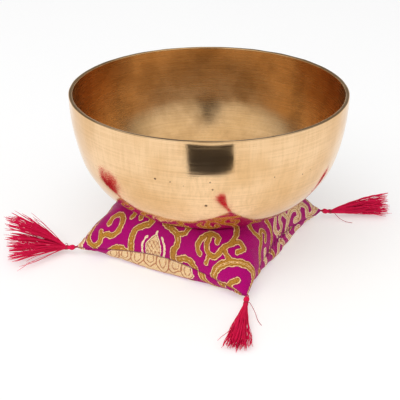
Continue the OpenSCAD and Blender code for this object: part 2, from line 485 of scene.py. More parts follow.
@dataclass
class SingingBowl:
    """The beaten brass bowl: a tall side arc, a shoulder arc and a small flat foot, all one wall thick."""

    rim_radius: float
    height: float
    centre: Vector
    foot_height: float
    wall: float = 2.8 * MM
    side_arc: float = 140 * MM
    shoulder_arc: float = 62 * MM
    join_angle: float = math.radians(16)
    lip_round: float = 0.7 * MM
    segments: int = 440
    finish: TurnedBrass = field(default_factory=TurnedBrass)

    @classmethod
    def from_frame(cls) -> "SingingBowl":
        """The bowl at the CAD node's own size and place."""
        low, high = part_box("bowl")
        middle = (low + high) / 2
        return cls(rim_radius=(high.x - low.x) / 2, height=high.z - low.z,
                   centre=Vector((middle.x, middle.y, 0)), foot_height=low.z)

    def arcs(self) -> tuple[Array, Array, float]:
        """Centres of the side and shoulder arcs, and the angle where the side arc meets the rim."""
        gap = self.side_arc - self.shoulder_arc
        rim = math.asin((self.shoulder_arc - self.height + gap * math.sin(self.join_angle)) / self.side_arc)
        side = np.array([self.rim_radius, self.height])
        side = side + self.side_arc * np.array([-math.cos(rim), math.sin(rim)])
        shoulder = side + gap * np.array([math.cos(self.join_angle), -math.sin(self.join_angle)])
        return side, shoulder, rim

    def surface(self, inset: float, flat: int, bend: int, side: int) -> Array:
        """One face of the wall, from the middle of the foot to the rim.

        Args:
            inset: How far it lies inside the outer face.
            flat: Points across the foot.
            bend: Points around the shoulder.
            side: Points up the side.

        Returns:
            Radius and height of each point.
        """
        side_c, shoulder_c, rim = self.arcs()
        floor = np.stack([np.linspace(0.4 * MM, shoulder_c[0], flat), np.full(flat, inset)], -1)
        a = np.linspace(-math.pi / 2, -self.join_angle, bend + 1)[1:]
        low = shoulder_c + (self.shoulder_arc - inset) * np.stack([np.cos(a), np.sin(a)], -1)
        a = np.linspace(-self.join_angle, -rim, side + 1)[1:]
        high = side_c + (self.side_arc - inset) * np.stack([np.cos(a), np.sin(a)], -1)
        return np.concatenate([floor, low, high])

    def outline(self) -> tuple[Array, Array]:
        """The whole outline, outer face first, and which points are on the inner face."""
        outer = self.surface(0.0, 20, 44, 34)
        inner = self.surface(self.wall, 20, 44, 34)
        top = self.height
        r0, r1, k = outer[-1][0], inner[-1][0], self.lip_round
        outer = outer[outer[:, 1] < top - 1.3 * k]
        inner = inner[inner[:, 1] < top - 1.3 * k]
        quarter = np.linspace(0, math.pi / 2, 5)
        bend_out = np.stack([r0 - k + k * np.cos(quarter), top - k + k * np.sin(quarter)], -1)
        bend_in = np.stack([r1 + k - k * np.cos(quarter), top - k + k * np.sin(quarter)], -1)[::-1]
        points = np.concatenate([outer, bend_out, bend_in, inner[::-1]])
        inside = np.concatenate([np.zeros(len(outer) + 5), np.ones(len(inner) + 5)])
        return points, inside

    def build_shell(self) -> Piece:
        """Turn the outline around the bowl's axis and beat it slightly uneven, as hammering leaves it."""
        outline, inside = self.outline()
        run = np.concatenate([[0], np.cumsum(np.linalg.norm(np.diff(outline, axis=0), axis=1))])
        normal = unit(np.stack([np.gradient(outline[:, 1]), -np.gradient(outline[:, 0])], -1))
        turn = np.linspace(0, TAU, self.segments, endpoint=False)
        ring = np.stack([np.cos(turn), np.sin(turn), np.zeros_like(turn)], -1)
        points = outline[:, None, :1] * ring[None] + outline[:, None, 1:] * UP
        out = normal[:, None, :1] * ring[None] + normal[:, None, 1:] * UP
        sway = MM * ripple(points, 85 * MM, seed=5)
        beaten = 0.05 * MM * ripple(points, 19 * MM, seed=3) + 0.16 * sway
        beaten_in = 0.03 * MM * ripple(points, 17 * MM, seed=7) - 0.10 * sway
        height = np.where(inside[:, None] > 0, beaten_in, beaten)
        near_axis = np.clip(outline[:, 0] / (8 * MM), 0, 1)[:, None]
        points = points + out * (height * near_axis)[..., None]
        points += np.array([*self.centre[:2], self.foot_height])
        flat_points = points.reshape(-1, 3)
        faces = grid_faces(len(outline), self.segments, closed=True)
        faces.append(tuple(reversed(range(self.segments))))
        last = (len(outline) - 1) * self.segments
        faces.append(tuple(last + k for k in range(self.segments)))
        shell = make_mesh("bowl_shell", flat_points, [tuple(reversed(f)) for f in faces])
        add_attribute(shell, "ring", np.repeat(run, self.segments))
        add_attribute(shell, "inside", np.repeat(inside, self.segments))
        return shell

    def pits(self) -> list[tuple[Vector, float]]:
        """Centre and radius of the small casting pits on the outside."""
        turn_up_radius = [(-83, 59, 0.8), (-77, 58, 0.45), (-62, 60, 0.5), (-61, 54, 0.55), (-63.5, 41, 1.0),
                          (-37, 59, 0.5), (-23, 55, 0.45), (-72, 56, 0.3), (-19, 56, 0.35), (30, 40, 0.8),
                          (75, 54, 0.6), (150, 45, 0.7)]
        face = self.surface(0.0, 20, 90, 60)
        found = []
        for turn, up, radius in turn_up_radius:
            k = int(np.argmin(np.abs(face[:, 1] - up * MM) + 10 * (face[:, 0] < 30 * MM)))
            out, height = face[k]
            a = math.radians(turn)
            spot = Vector((out * math.cos(a), out * math.sin(a), self.foot_height + height))
            found.append((self.centre + spot, radius * MM))
        return found

    def assemble(self) -> list[Piece]:
        """Build, dress and attach the bowl."""
        shell = self.build_shell()
        shell.data.materials.append(self.finish.material(self.pits()))
        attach(shell, "bowl")
        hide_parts("bowl")
        return [shell]


# ---------------------------------------------------------------- cushion


def spline_rows(values: Array, count: int) -> Array:
    """Resample the first axis of a grid with a smooth curve through its points.

    Args:
        values: The grid, with its rows along the first axis.
        count: Number of rows wanted.

    Returns:
        The grid with that many rows.
    """
    n = len(values)
    at = np.linspace(0, n - 1, count)
    k = np.minimum(at.astype(int), n - 2)
    t = (at - k).reshape(-1, *([1] * (values.ndim - 1)))
    a, b = values[k], values[k + 1]
    before = np.where((k > 0).reshape(t.shape), values[np.maximum(k - 1, 0)], 2 * a - b)
    after = np.where((k < n - 2).reshape(t.shape), values[np.minimum(k + 2, n - 1)], 2 * b - a)
    cubic = t * (3 * (a - b) + after - before)
    return a + 0.5 * t * (b - before + t * (2 * before - 5 * a + 4 * b - after + cubic))


class Motif(Enum):
    """The woven figures of the brocade, named as a weaver would."""

    CLOUD = "cloud scroll"
    OGEE = "ogee arch with a branch"
    FLAME = "flame bud"
    LEAF = "half leaf"
    ANTLER = "antler scroll"
    ARCH = "double arch with a curl"
    TENDRIL = "tendril"
    FOLIAGE = "cream foliage"
    LOTUS = "cream lotus band"
    SPRIG = "small sprig"


def smooth_line(points: list[tuple[float, float]], steps: int = 6) -> Array:
    """A smooth curve through a few given points."""
    grid = np.asarray(points, float)
    return spline_rows(grid, (len(points) - 1) * steps + 1)


class BrocadePattern:
    """The woven pattern, drawn with ribbons on the flat cloth in millimetres.

    Each side of a panel has its own frame: x runs along the seam from its middle, left to right seen
    from outside, and y runs away from the seam.
    """

    ribbon: float = 4.3
    farthest: float = 9.0
    margin: float = 3.0

    def __init__(self) -> None:
        """Lay out the figures of both panels, side by side around the cushion."""
        long_side = [(Motif.CLOUD, -50, 0), (Motif.LEAF, -37, -1), (Motif.OGEE, -8, 0), (Motif.FLAME, -8, 0),
                     (Motif.LEAF, 20, 2), (Motif.ANTLER, 42, 0), (Motif.ARCH, 58, 0), (Motif.SPRIG, -26, 27),
                     (Motif.CLOUD, -20, 44), (Motif.ANTLER, 12, 42)]
        short_side = [(Motif.TENDRIL, -32, 0), (Motif.FOLIAGE, 30, 0), (Motif.SPRIG, 2, 27),
                      (Motif.CLOUD, 36, 30), (Motif.SPRIG, -26, 36)]
        self.upper = [long_side, short_side, long_side, short_side]
        under = [(Motif.LOTUS, -9, 0), (Motif.ARCH, 46, -6), (Motif.CLOUD, -34, 16), (Motif.OGEE, 6, 16),
                 (Motif.ANTLER, 30, 16), (Motif.SPRIG, -6, 44)]
        self.lower = [under, short_side, under, short_side]

    def draw(self, motif: Motif) -> tuple[list[Stroke], list[Stroke], list[Stroke]]:
        """Draw one figure about its own origin.

        Args:
            motif: Which figure.

        Returns:
            Its gold strokes, its cream ones and the brown lines drawn on them, each as points and a width.
        """
        w = self.ribbon
        gold: list[Stroke] = []
        cream: list[Stroke] = []
        drawn: list[Stroke] = []
        if motif is Motif.CLOUD:
            gold = [([(-15, 17.5), (-15.5, 12), (-13, 6.5), (-8, 3.5), (-3.5, 5), (-2, 9), (-4, 14.5)], w),
                    ([(-2.5, 10.5), (2, 12.5), (7, 11.5), (11, 14.5), (13, 20), (12.5, 25), (8, 27.5),
                      (3, 25.5), (1, 20.5)], w + 0.4),
                    ([(-7, 3.5), (-5, -2)], w - 0.6)]
        elif motif is Motif.OGEE:
            gold = [([(-18.5, -1), (-18.5, 6), (-18, 13), (-15.5, 17.5), (-10.5, 20.5), (-6.5, 22.5),
                      (-4, 27), (-2.5, 35)], w + 0.7),
                    ([(-3, 35), (1.5, 31), (6, 25.5), (12, 23), (17.5, 19.5), (19, 13.5), (16.5, 7.5),
                      (17, -1)], w + 0.7),
                    ([(18, 20), (24, 24), (25.5, 37)], w - 0.4)]
        elif motif is Motif.FLAME:
            cream = [([(0, 2), (0, 6.5)], 12.5), ([(0, 7), (0.3, 9.5)], 9.4),
                     ([(0.3, 10), (0.7, 12)], 6.0), ([(0.7, 12), (1.1, 14.5)], 3.6),
                     ([(1.1, 14.5), (1.5, 18)], 1.8),
                     ([(-5.5, 14), (-8.6, 9), (-9.2, 3), (-8, -1)], 1.5),
                     ([(6, 14.5), (8.8, 9), (9.2, 3), (8, -1)], 1.5)]
            for x in (-6, -3, 0, 3, 6):
                drawn += [([(x - 4, -1), (x, 5), (x + 4, 11)], 0.6),
                          ([(x + 4, -1), (x, 5), (x - 4, 11)], 0.6)]
        elif motif is Motif.LEAF:
            gold = [([(-6.5, 0.5), (-2, 3), (3, 2.5), (7.5, -1)], w + 1.2)]
        elif motif is Motif.ANTLER:
            gold = [([(-12.5, 13), (-15, 18), (-13, 24.5), (-8.5, 29.5), (-3, 29), (-2, 25.5)], w),
                    ([(-8.5, 28), (-8.5, 20.5), (-5, 15.5), (0.5, 16.5), (3.5, 23.5), (7, 30), (7.5, 39),
                      (0, 49), (-4, 45)], w),
                    ([(-5, 15.5), (-6, 8.5)], w - 0.8),
                    ([(7, 29), (12, 34), (17, 31), (14.5, 26.5)], w),
                    ([(4, 24), (10, 19.5), (14.5, 18.5)], w)]
        elif motif is Motif.ARCH:
            gold = [([(-14, -1), (-14.5, 3.5), (-11.5, 11), (-4, 17.5), (5, 20.5), (14.5, 20), (19, 13.5),
                      (17, 3)], w + 1.6),
                    ([(-10.5, -0.5), (-2, 1.5), (6, -0.5)], w - 0.8),
                    ([(-1.5, 1.5), (1.5, 5.5), (4.8, 8)], w + 0.4)]
        elif motif is Motif.TENDRIL:
            gold = [([(4, 33), (1.5, 23), (4, 14.5), (-2.5, 9.5), (-6.5, 5), (-8, -1)], w - 0.2),
                    ([(4, 14.5), (9, 19.5), (13.5, 15), (9.5, 11.5)], w - 0.5),
                    ([(20, 26), (23, 14), (20, 5), (14, -1)], w - 0.5)]
            cream = [([(7, 5), (5, -1)], 4.5)]
        elif motif is Motif.FOLIAGE:
            cream = [([(-29, 17), (-33, 10), (-28, 3), (-22, 7), (-23, 13), (-16, 16), (-10, 9)], 4.6),
                     ([(-14, 3), (-8, 10), (-1, 14), (6, 12), (7, 5), (1, 4)], 5.6),
                     ([(8, 12), (14, 15), (20, 11), (19, 4), (27, 3), (31, 9)], 5.6),
                     ([(30, 3), (38, 5), (45, 3)], 4.4)]
            drawn = [(line, 0.8) for line, _ in cream]
            for x in (-26, -10, -4, 5, 12, 18, 25, 34):
                drawn.append(([(x, 2), (x + 3, 7), (x + 1, 12)], 0.7))
            gold = [([(-20, -1), (-12, 1), (-4, -1)], 2.6), ([(8, 21), (18, 23), (28, 18)], 3.0)]
        elif motif is Motif.LOTUS:
            cream = [([(-33, 6), (-12, 7), (10, 7.5), (30, 6)], 11.0),
                     ([(-32, 2), (-10, 2), (12, 2), (31, 2)], 5.0)]
            for k, x in enumerate((-32, -22.5, -11.5, -1, 9.5, 20, 30)):
                lean = 1.5 * math.sin(2.1 * k)
                tall = 11.5 - (k % 2) * 1.8
                drawn += [([(x - 4.6, 0.5), (x - 5.4, 5), (x - 3 + lean, tall - 2), (x + lean, tall),
                            (x + 3 + lean, tall - 2.5), (x + 5.4, 5), (x + 4.6, 0.5)], 0.9),
                          ([(x - 2.2, 1), (x - 2.6, 4.5), (x + lean / 2, tall - 3.5), (x + 2.6, 4.5),
                            (x + 2.2, 1)], 0.7)]
        else:
            gold = [([(-4, -1), (-1.5, 3), (3, 2.5), (4, -1)], w)]
        return gold, cream, drawn

    def edges(self, sides: list[list[tuple[Motif, float, float]]],
              frames: list[tuple[Array, Array]]) -> list[Array]:
        """Distance from each point of a panel to the nearest ribbon's edge, less than zero inside it.

        Args:
            sides: The figures on each side of the panel and their places.
            frames: Each side's own coordinates of the panel's points.

        Returns:
            The distances to the gold ribbons, to the cream ones and to the lines drawn on them.
        """
        found = [np.full(frames[0][0].shape, self.farthest) for _ in range(3)]
        for figures, (along, away) in zip(sides, frames):
            for motif, x, y in figures:
                for best, strokes in zip(found, self.draw(motif)):
                    for line, width in strokes:
                        self.lay(best, smooth_line(line) + np.array([x, y]), width, along, away)
        return found

    def lay(self, best: Array, line: Array, width: float, along: Array, away: Array) -> None:
        """Lower the distances in best to one stroke's, where the stroke is near."""
        low, high = line.min(0) - self.margin - width, line.max(0) + self.margin + width
        near = (along > low[0]) & (along < high[0]) & (away > low[1]) & (away < high[1])
        if not near.any():
            return
        p = np.stack([along[near], away[near]], -1)
        found = np.full(len(p), self.farthest)
        for a, b in zip(line[:-1], line[1:]):
            d = b - a
            k = np.clip(((p - a) @ d) / max(d @ d, 1e-9), 0, 1)
            found = np.minimum(found, np.linalg.norm(p - a - k[:, None] * d, axis=1) - width / 2)
        best[near] = np.minimum(best[near], found)


@dataclass
class BrocadeCushion:
    """The square cushion: two brocade panels sewn edge to edge around loose stuffing."""

    half_side: float
    bowl: SingingBowl
    side_pull: float = 8 * MM
    corner_height: float = 7 * MM
    seam_height: float = 13.5 * MM
    crown_rise: float = 46 * MM
    crown_power: float = 0.7
    crown_spread: float = 0.3
    belly_drop: float = 21 * MM
    belly_power: float = 0.6
    belly_spread: float = 0.75
    bowl_gap: float = 0.6 * MM
    floor_gap: float = 0.1 * MM
    cloth_thickness: float = 0.5 * MM
    cells: int = 72
    dense_cells: int = 288
    sim_scale: float = 10.0
    sim_frames: int = 12
    most_move: float = 2.5 * MM
    calm_corner: float = 30 * MM
    gather_height: float = 0.28 * MM
    gather_pitch: float = 6.5
    unevenness: float = 0.22 * MM
    seam_pull: float = 0.5 * MM
    seam_crease: float = 0.9
    corner_reach: float = 13 * MM
    plump_at: float = 20 * MM
    weave_rise: float = 0.18 * MM
    weave_gap: float = 0.3 * MM
    stuffing_gap: float = 0.7 * MM
    stuffing_pull: float = 1.4 * MM
    lump_height: float = 0.5 * MM
    seam_grip: float = 0.9
    loose_grip: float = 0.15
    tucked_allowance: float = 1.6 * MM
    corner_plump: float = 3.2 * MM
    stitches: int = 9
    stitch_pitch: float = 5 * MM
    stitch_radius: float = 0.3 * MM
    brocade: Brocade = field(default_factory=Brocade)
    stuffing: CottonStuffing = field(default_factory=CottonStuffing)
    sewing_thread: SilkThread = SilkThread("sewing_thread", (0.42, 0.01, 0.20), (0.22, 0.0, 0.10), 0.5)
    upper: Array = field(init=False)
    lower: Array = field(init=False)

    @classmethod
    def from_frame(cls, bowl: SingingBowl) -> "BrocadeCushion":
        """The cushion at the CAD node's own size, under the given bowl."""
        low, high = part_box("cover_top")
        return cls(half_side=(high.x - low.x) / 2, bowl=bowl)

    def under_bowl(self, points: Array) -> Array:
        """Height of the bowl's outer face above each point."""
        face = self.bowl.surface(0.0, 20, 60, 40)
        r = np.hypot(points[..., 0] - self.bowl.centre.x, points[..., 1] - self.bowl.centre.y)
        return self.bowl.foot_height + np.interp(r, face[:, 0], face[:, 1])

    def sewn_panel(self, rise: float, power: float, spread: float) -> Array:
        """One panel as it is sewn and stuffed, before the cloth settles.

        Args:
            rise: How far its middle would stand above the seam, or below it if less than zero.
            power: Below one, so that it rises steeply from the seam.
            spread: How far its sides bulge out past the seam.

        Returns:
            A square grid of its points.
        """
        steps = np.linspace(-1, 1, self.cells + 1)
        u, v = np.meshgrid(steps, steps, indexing="ij")
        bulge = np.maximum(0, (1 - u * u) * (1 - v * v))
        wide = 1 + spread * bulge
        x = wide * u * (self.half_side - self.side_pull * (1 - v * v))
        y = wide * v * (self.half_side - self.side_pull * (1 - u * u))
        seam = self.corner_height + (self.seam_height - self.corner_height) * (1 - (u * v) ** 2) ** 2
        return np.stack([x, y, seam + rise * bulge ** power], -1)

    def pressed(self, points: Array) -> Array:
        """Points moved down out of the bowl and up out of the table."""
        moved = points.copy()
        moved[..., 2] = np.clip(points[..., 2], self.floor_gap, self.under_bowl(points) - self.bowl_gap)
        return moved

    def settle(self, upper: Array, lower: Array) -> tuple[Array, Array]:
        """Let the cloth settle with the stuffing pressing on it from inside.

        The simulation is run at ten times the size, which suits the solver. The cloth is held where
        the bowl and the table press on it, and a little elsewhere, so that it keeps its sewn shape
        and only puckers and wrinkles.

        Args:
            upper: Grid of the upper panel's points.
            lower: Grid of the lower panel's points.

        Returns:
            The two grids after the cloth has settled.
        """
        n = self.cells + 1
        number = np.arange(n * n).reshape(n, n)
        on_seam, number_low = self.sewn_numbers(number)
        points = np.concatenate([upper.reshape(-1, 3), lower[~on_seam]])
        faces = []
        for i in range(n - 1):
            for j in range(n - 1):
                for num, turn in ((number, 1), (number_low, -1)):
                    faces.append((num[i, j], num[i + 1, j], num[i + 1, j + 1], num[i, j + 1])[::turn])
        faces = [tuple(int(k) for k in f) for f in faces]
        cloth = make_mesh("settling_cloth", points * self.sim_scale, faces)
        modifier = cloth.modifiers.new("cloth", "CLOTH")
        settings = modifier.settings
        settings.quality = 6
        settings.mass = 0.3
        settings.tension_stiffness = settings.compression_stiffness = 15.0
        settings.shear_stiffness = 5.0
        settings.bending_stiffness = 0.1
        settings.shrink_min = -0.05
        settings.use_pressure = True
        settings.uniform_pressure_force = 0.4
        settings.effector_weights.gravity = 0.0
        ceiling = self.under_bowl(points) - self.bowl_gap
        held = (points[:, 2] > ceiling - 0.05 * MM) | (points[:, 2] < self.floor_gap + 0.05 * MM)
        seam = np.concatenate([on_seam.ravel(), np.zeros(len(points) - n * n, bool)])
        grip = np.where(held, 1.0, np.where(seam, self.seam_grip, self.loose_grip))
        grip[number[[0, 0, -1, -1], [0, -1, 0, -1]]] = 1.0
        group = cloth.vertex_groups.new(name="grip")
        for value in np.unique(grip):
            group.add([int(k) for k in np.flatnonzero(grip == value)], float(value), "REPLACE")
        settings.vertex_group_mass = "grip"
        modifier.collision_settings.use_collision = False
        modifier.point_cache.frame_end = self.sim_frames
        for step in range(1, self.sim_frames + 1):
            bpy.context.scene.frame_set(step)
        settled = cloth.evaluated_get(bpy.context.evaluated_depsgraph_get())
        moved = np.empty(len(points) * 3, np.float32)
        settled.data.vertices.foreach_get("co", moved)
        bpy.data.objects.remove(cloth)
        bpy.context.scene.frame_set(1)
        shift = moved.reshape(-1, 3).astype(float) / self.sim_scale - points
        size = np.linalg.norm(shift, axis=1, keepdims=True)
        log.info("the cloth settled by up to %.1f mm", size.max() / MM)
        shift *= np.tanh(size / self.most_move) * self.most_move / np.maximum(size, 1e-9)
        to_corner = np.linalg.norm(np.abs(points[:, :2]) - self.half_side, axis=1, keepdims=True)
        shift *= np.clip(to_corner / self.calm_corner, 0, 1) ** 2
        shifts = [self.evened(shift[k.ravel()].reshape(n, n, 3)) for k in (number, number_low)]
        shared = (shifts[0] + shifts[1]) / 2
        for part in shifts:
            part[on_seam] = shared[on_seam]
        return self.pressed(upper + shifts[0]), self.pressed(lower + shifts[1])

    @staticmethod
    def sewn_numbers(number: Array) -> tuple[Array, Array]:
        """Which points of a grid are on the seam, and the lower grid's numbers, which share those."""
        on_seam = np.zeros(number.shape, bool)
        on_seam[[0, -1], :] = on_seam[:, [0, -1]] = True
        spare = np.cumsum(~on_seam.ravel()).reshape(number.shape) - 1 + number.size
        return on_seam, np.where(on_seam, number, spare)

    @staticmethod
    def evened(values: Array, passes: int = 3) -> Array:
        """A grid of values, each averaged with its neighbours a few times to take out single spikes."""
        for _ in range(passes):
            for axis in (0, 1):
                wide = np.pad(values, [(int(k == axis),) * 2 for k in range(3)], mode="edge")
                count = values.shape[axis]
                low, mid, high = (np.take(wide, range(k, k + count), axis) for k in range(3))
                values = (low + 2 * mid + high) / 4
        return values

    def frames(self, grid: Array) -> list[tuple[Array, Array]]:
        """Flat cloth coordinates of a panel's points in millimetres, in each side's frame in turn."""
        found = []
        for turn in range(4):
            g = np.rot90(grid, turn)
            step_along = np.linalg.norm(np.diff(g, axis=0), axis=2) / MM
            step_away = np.linalg.norm(np.diff(g, axis=1), axis=2) / MM
            along = np.vstack([np.zeros(len(g)), np.cumsum(step_along, 0)])
            along -= along[len(g) // 2]
            away = np.hstack([np.zeros((len(g), 1)), np.cumsum(step_away, 1)])
            found.append((np.rot90(along, -turn), np.rot90(away, -turn)))
        return found

    def shape(self) -> None:
        """Work out both panels, coarse and then dense, with the seam drawn in and gathered."""
        upper = self.pressed(self.sewn_panel(self.crown_rise, self.crown_power, self.crown_spread))
        lower = self.pressed(self.sewn_panel(-self.belly_drop, self.belly_power, self.belly_spread))
        upper, lower = self.settle(upper, lower)
        self.upper, self.lower = self.dressed(upper, 1), self.dressed(lower, -1)

    def dressed(self, coarse: Array, facing: int) -> Array:
        """Make a panel dense, gather it along the seam and plump it.

        Args:
            coarse: Grid of the panel's points.
            facing: 1 where the panel faces up, -1 where it faces down.

        Returns:
            The dense grid.
        """
        panel = coarse
        for _ in range(2):
            panel = spline_rows(panel, self.dense_cells + 1).transpose(1, 0, 2)
        frames = self.frames(panel)
        reach = np.minimum.reduce([away for _, away in frames])
        out = self.outward(panel, facing)
        inward = unit(panel * -LEVEL)
        around = np.choose(np.argmin([away for _, away in frames], 0), [along for along, _ in frames])
        gathers = np.sin(around * (TAU / self.gather_pitch) + 2.2 * np.sin(around * 0.21))
        gathers *= (0.6 + 0.4 * np.sin(around * 0.13 + 1)) * np.exp(-((reach - 3.5) / 3.0) ** 2)
        panel = panel + out * (self.gather_height * gathers)[..., None]
        uneven = ripple(panel, 26 * MM, seed=21) * (1 - np.exp(-reach / 8))
        panel += out * (self.unevenness * uneven)[..., None]
        to_corner = np.linalg.norm(np.abs(panel[..., :2]) - self.half_side, axis=-1)
        pulled = np.exp(-((reach / self.seam_crease) ** 2)) * np.clip(to_corner / (18 * MM), 0, 1)
        panel += inward * (self.seam_pull * pulled)[..., None]
        tucked = np.exp(-((to_corner / self.corner_reach) ** 2)) * (1 - np.exp(-reach / self.seam_crease))
        plump = np.exp(-(((to_corner - self.plump_at) / self.corner_reach) ** 2)) * (1 - np.exp(-reach / 3.5))
        plump *= facing > 0
        panel += out * (self.tucked_allowance * tucked + self.corner_plump * plump)[..., None]
        return self.pressed(panel)

    @staticmethod
    def outward(grid: Array, facing: int) -> Array:
        """The direction straight out of the cloth at each point."""
        return unit(np.cross(np.gradient(grid, axis=0), np.gradient(grid, axis=1))) * facing

    def build_panel(self, name: str, grid: Array, sides: list, facing: int) -> Piece:
        """Make one panel of cloth, with the woven pattern raised on it.

        Args:
            name: The piece's name.
            grid: Its points.
            sides: The figures on each of its sides.
            facing: 1 where the panel faces up, -1 where it faces down.

        Returns:
            The panel.
        """
        n = len(grid)
        frames = self.frames(grid)
        gold, cream, drawn = BrocadePattern().edges(sides, frames)
        reach = np.minimum.reduce([away for _, away in frames])
        out = self.outward(grid, facing)
        raised = np.clip(0.5 - np.minimum(gold, cream) / 0.5, 0, 1) * np.clip(reach / 1.2, 0, 1)
        face = grid + out * (self.weave_rise * raised)[..., None]
        ceiling = self.under_bowl(face) - self.weave_gap
        face[..., 2] = np.clip(face[..., 2], self.floor_gap / 2, ceiling)
        skip = self.dense_cells // self.cells
        back = (grid - out * self.cloth_thickness)[::skip, ::skip]
        back[[0, -1], :] = grid[[0, -1], ::skip]
        back[:, [0, -1]] = grid[::skip, [0, -1]].reshape(back[:, [0, -1]].shape)
        inset = unit(back * -LEVEL) * self.cloth_thickness
        back[[0, -1], :] += inset[[0, -1], :]
        back[1:-1, [0, -1]] += inset[1:-1, [0, -1]]
        m = len(back)
        faces = grid_faces(n, n)
        faces += [tuple(n * n + k for k in reversed(f)) for f in grid_faces(m, m)]
        faces += self.rim_faces(n, m, skip)
        if facing > 0:
            faces = [f[::-1] for f in faces]
        panel = make_mesh(name, np.concatenate([face.reshape(-1, 3), back.reshape(-1, 3)]), faces)
        along, away = frames[0]
        stored = {"gold_edge": gold, "cream_edge": cream, "figure_line": drawn, "cloth_x": along,
                  "cloth_y": away, "seam_reach": reach}
        for key, values in stored.items():
            add_attribute(panel, key, np.concatenate([values.ravel(), values[::skip, ::skip].ravel()]))
        return panel

    @staticmethod
    def rim_faces(n: int, m: int, skip: int) -> list[Face]:
        """Faces that close the edge between a dense grid and a coarse one.

        Args:
            n: Points along a side of the dense grid.
            m: Points along a side of the coarse grid, whose numbers follow the dense grid's.
            skip: Dense cells to one coarse cell.

        Returns:
            The faces.
        """
        dense = np.arange(n * n).reshape(n, n)
        coarse = np.arange(m * m).reshape(m, m) + n * n
        inner, outer = (np.concatenate([g[0, :-1], g[:-1, -1], g[-1, :0:-1], g[:0:-1, 0]]).tolist()
                        for g in (coarse, dense))
        faces = []
        for k, corner in enumerate(inner):
            run = [outer[(k * skip + i) % len(outer)] for i in range(skip + 1)]
            faces.append((inner[(k + 1) % len(inner)], corner, *run))
        return faces

    def build_filling(self) -> Piece:
        """Make the loose stuffing, which fills the space between the panels."""
        skip = self.dense_cells // self.cells
        n = self.cells + 1
        gap = self.cloth_thickness + self.stuffing_gap
        middle = np.array([0, 0, 14 * MM])
        sheets = []
        for grid, facing in ((self.upper, 1), (self.lower, -1)):
            sheet = (grid - self.outward(grid, facing) * gap)[::skip, ::skip]
            lumps = self.lump_height * np.maximum(0, 1 + ripple(sheet, 14 * MM, seed=31))
            sheets.append(sheet - unit(sheet - middle) * lumps[..., None])
        rim = (sheets[0] + sheets[1]) / 2
        pull = unit(rim * -LEVEL) * self.stuffing_pull
        number = np.arange(n * n).reshape(n, n)
        edge, number_low = self.sewn_numbers(number)
        top = np.where(edge[..., None], rim + pull, sheets[0])
        points = np.concatenate([top.reshape(-1, 3), sheets[1][~edge]])
        faces = [f[::-1] for f in grid_faces(n, n)]
        faces += [tuple(int(number_low.ravel()[k]) for k in f) for f in grid_faces(n, n)]
        return make_mesh("cushion_filling", points, faces)

    def build_stitches(self) -> Piece:
        """Make the hand stitches that close the side the stuffing went in by."""
        bundle = ThreadBundle(sides=8)
        seam = self.upper[-1]
        for k in range(self.stitches):
            y = (k - (self.stitches - 1) / 2) * self.stitch_pitch
            i = int(np.argmin(np.abs(seam[:, 1] - y)))
            above, below = self.upper[-3, i + 1], self.lower[-3, i - 1]
            over = seam[i] + np.array([0.75 * MM, 0, 0])
            side = np.array([self.stitch_radius + 0.15 * MM, 0, 0])
            ends = [above - side * 1.2, above + side, over, below + side, below - side * 1.2]
            path = spline_rows(np.array(ends), 17)
            bundle.add(path, np.full(len(path), self.stitch_radius), 0.3 + 0.5 * (k % 3) / 2)
        return bundle.build("closing_stitches_thread")

    def assemble(self) -> list[Piece]:
        """Build, dress and attach the two panels, the stuffing and the stitches."""
        self.shape()
        pattern = BrocadePattern()
        top = self.build_panel("cushion_cover_top", self.upper, pattern.upper, 1)
        bottom = self.build_panel("cushion_cover_bottom", self.lower, pattern.lower, -1)
        cloth = self.brocade.material()
        filling = self.build_filling()
        stitches = self.build_stitches()
        dressing = [(top, "cover_top", "brocade", cloth), (bottom, "cover_bottom", "brocade", cloth),
                    (filling, "filling", "stuffing", self.stuffing.material()),
                    (stitches, "closing_stitches", "sewing_thread", self.sewing_thread.material())]
        for piece, node, slot, finish in dressing:
            piece.data.materials.append(finish)
            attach(piece, "cushion")
            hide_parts(node)
        return [top, bottom, filling, stitches]


# ---------------------------------------------------------------- tassels


@dataclass(frozen=True)
class Hang:
    """How a corner's tassel lies: the size of its loose end, its lean to the left and its reach."""

    name: str
    end_width: float
    end_height: float
    lean: float
    reach: float
    threads: int
    tail_side: int
    seed: int


class Corner(Enum):
    """The four corners, each with the way its tassel lies."""

    FRONT = Hang("front", 18 * MM, 10 * MM, 0 * MM, 51 * MM, threads=180, tail_side=1, seed=3)
    RIGHT = Hang("right", 20 * MM, 19 * MM, 0 * MM, 52 * MM, threads=160, tail_side=-1, seed=5)
    BACK = Hang("back", 29 * MM, 9 * MM, 0 * MM, 50 * MM, threads=170, tail_side=1, seed=7)
    LEFT = Hang("left", 60 * MM, 33 * MM, 10 * MM, 49 * MM, threads=220, tail_side=-1, seed=9)


